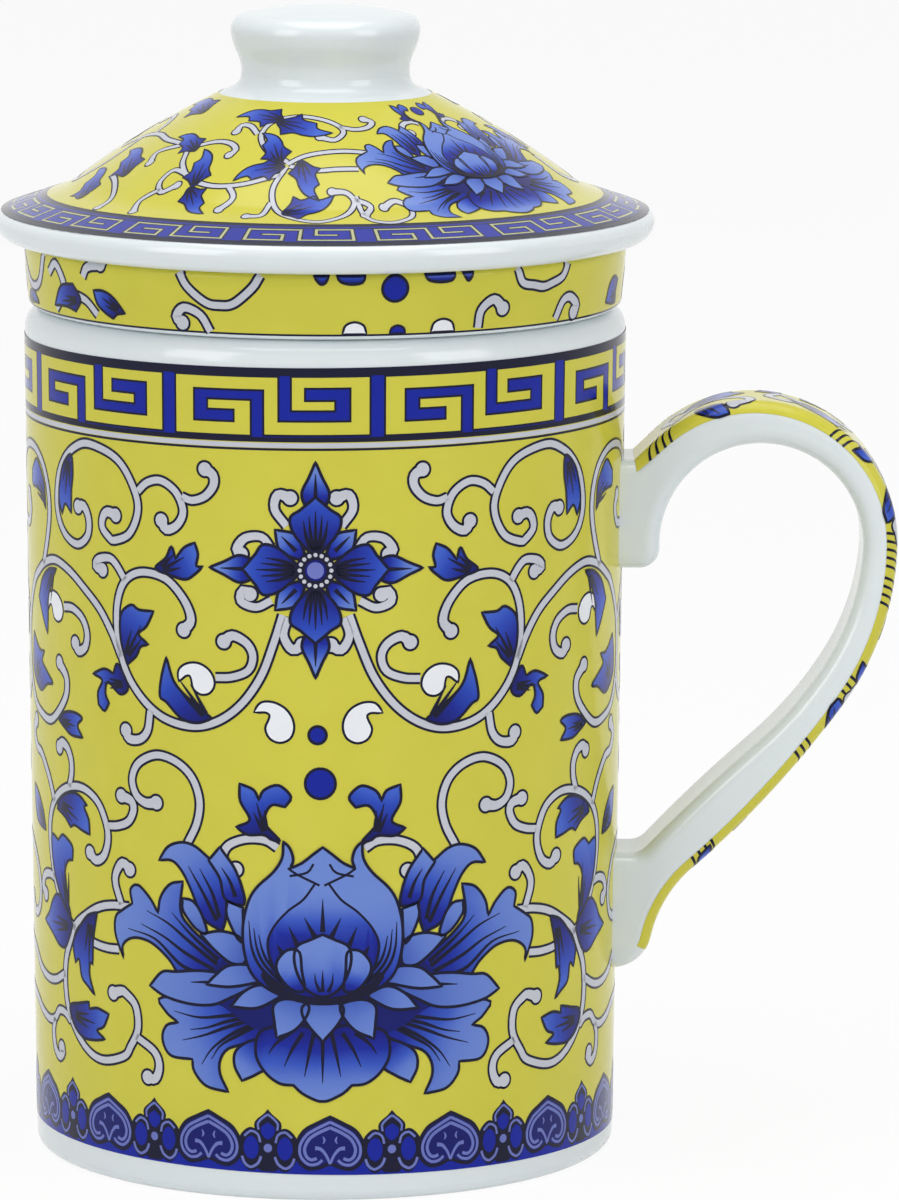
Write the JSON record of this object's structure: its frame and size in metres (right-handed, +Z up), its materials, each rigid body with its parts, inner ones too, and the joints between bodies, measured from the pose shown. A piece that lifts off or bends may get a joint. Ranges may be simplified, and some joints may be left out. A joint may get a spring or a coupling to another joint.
{
  "type": "lidded tea mug with infuser",
  "caption": "Tall porcelain tea mug with a side handle, a lift-out porcelain infuser whose collar stands on the rim, and a domed lift-off lid with a round knob.",
  "frame": {"origin": "centre of the mug's foot ring, on the mug's axis, in the plane it stands on", "axes": "+Z up along the mug's axis, +X from the axis towards the handle, +Y to the far side in the picture"},
  "size_m": [0.1144, 0.0834, 0.1461],
  "materials": {
    "mug_glaze": "glossy white porcelain glaze under a yellow and blue printed enamel pattern",
    "handle_glaze": "glossy white porcelain glaze with a yellow enamel strip on the outer face",
    "infuser_glaze": "glossy white porcelain glaze with yellow and blue enamel on the collar",
    "lid_glaze": "glossy white porcelain glaze under a yellow and blue printed enamel pattern",
    "knob_glaze": "glossy white porcelain glaze"
  },
  "bodies": {
    "mug": {"mug_body": "mug_glaze", "mug_handle": "handle_glaze"},
    "infuser": {"infuser": "infuser_glaze"},
    "lid": {"lid": "lid_glaze", "lid_knob": "knob_glaze"}
  },
  "joints": [
    {"name": "infuser_lift", "type": "slide", "parent": "mug", "child": "infuser", "axis": [0, 0, 1], "range_m": [0, 0.08]},
    {"name": "lid_lift", "type": "slide", "parent": "infuser", "child": "lid", "axis": [0, 0, 1], "range_m": [0, 0.04]}
  ]
}
